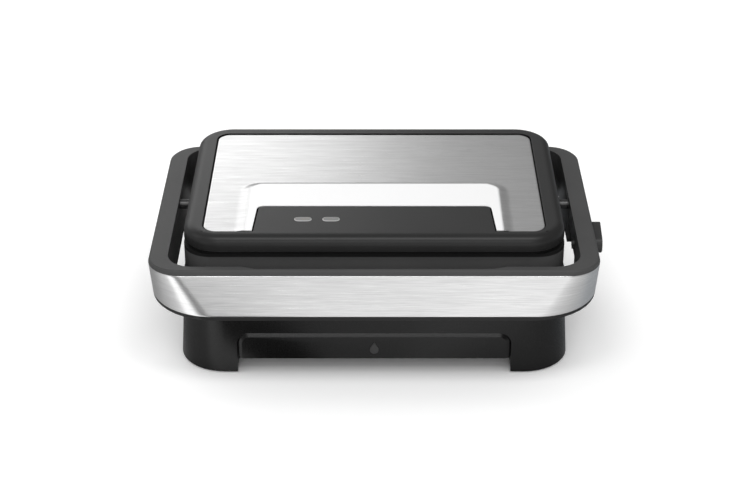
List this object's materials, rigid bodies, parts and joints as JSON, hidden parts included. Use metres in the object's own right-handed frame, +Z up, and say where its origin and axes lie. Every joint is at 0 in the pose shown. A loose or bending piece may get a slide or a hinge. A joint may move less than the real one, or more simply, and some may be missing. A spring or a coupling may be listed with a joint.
{
  "type": "electric indoor grill with lid",
  "caption": "Tabletop contact grill with ribbed heated plates, a lid that tilts inside a hinged ring handle, a side lock and a pull-out drip tray.",
  "frame": {"origin": "on the table, under the middle of the base; the lock's knob and the grip make the whole object's box lopsided about it", "axes": "+X to the right seen from the front, +Y to the back where the hinges are, +Z up"},
  "size_m": [0.3456, 0.234, 0.1181],
  "materials": {
    "black_plastic": "fine-textured moulded black plastic",
    "dark_plastic": "matt moulded dark grey plastic",
    "lid_plastic": "satin moulded black plastic",
    "rubber": "matt black rubber",
    "screw_steel": "zinc-plated steel",
    "nonstick": "cast aluminium with a black non-stick coating",
    "element_sheath": "drawn steel tube, dulled by heat",
    "bright_sheet": "bright pressed sheet",
    "phenolic": "moulded phenolic",
    "terminal_plastic": "pale moulded plastic",
    "bush_plastic": "self-lubricating dark plastic",
    "brushed_band": "stainless steel brushed along the grip",
    "brushed_panel": "stainless steel brushed from side to side",
    "lens_plastic": "frosted grey lens",
    "board": "laminated circuit board",
    "red_lamp": "small red lamp",
    "green_lamp": "small green lamp"
  },
  "bodies": {
    "base": {"base_housing": "black_plastic", "base_bottom_cover": "dark_plastic", "rubber_feet": "rubber", "base_screws": "screw_steel", "lower_plate": "nonstick", "lower_plate_screws": "screw_steel", "lower_heating_element": "element_sheath", "lower_element_clips": "screw_steel", "lower_reflector": "bright_sheet", "lower_thermostat": "phenolic", "lower_thermal_fuse": "screw_steel", "terminal_block": "terminal_plastic", "cord_gland": "dark_plastic", "lock_stud": "screw_steel"},
    "handle": {"handle_frame": "black_plastic", "handle_under_cover": "dark_plastic", "handle_steel_band": "brushed_band", "handle_screws": "screw_steel", "hinge_pins": "screw_steel", "lid_pivot_pins": "screw_steel"},
    "lid": {"lid_cover": "lid_plastic", "lid_steel_panel": "brushed_panel", "lid_lower_shell": "dark_plastic", "lid_screws": "screw_steel", "lid_pivot_bushes": "bush_plastic", "upper_plate": "nonstick", "upper_plate_screws": "screw_steel", "upper_heating_element": "element_sheath", "upper_element_clips": "screw_steel", "upper_reflector": "bright_sheet", "upper_thermal_fuse": "screw_steel", "power_lens": "lens_plastic", "ready_lens": "lens_plastic", "lamp_board": "board", "power_lamp": "red_lamp", "ready_lamp": "green_lamp"},
    "lock": {"lock_knob": "lid_plastic", "lock_hook": "screw_steel", "lock_screw": "screw_steel"},
    "tray": {"drip_tray": "black_plastic"}
  },
  "joints": [
    {"name": "handle_hinge", "type": "hinge", "parent": "base", "child": "handle", "pos_m": [0, 0.105, 0.07], "axis": [-1, 0, 0], "range_deg": [0, 100]},
    {"name": "lid_tilt", "type": "hinge", "parent": "handle", "child": "lid", "pos_m": [0, 0.006, 0.095], "axis": [1, 0, 0], "range_deg": [0, 12]},
    {"name": "lock_turn", "type": "hinge", "parent": "handle", "child": "lock", "pos_m": [0.162, -0.044, 0.0865], "axis": [-1, 0, 0], "range_deg": [0, 90]},
    {"name": "tray_slide", "type": "slide", "parent": "base", "child": "tray", "axis": [0, -1, 0], "range_m": [0, 0.15]}
  ],
  "couplings": [
    {"joint": "lid_tilt", "follows": "handle_hinge", "ratio": 0.12}
  ]
}
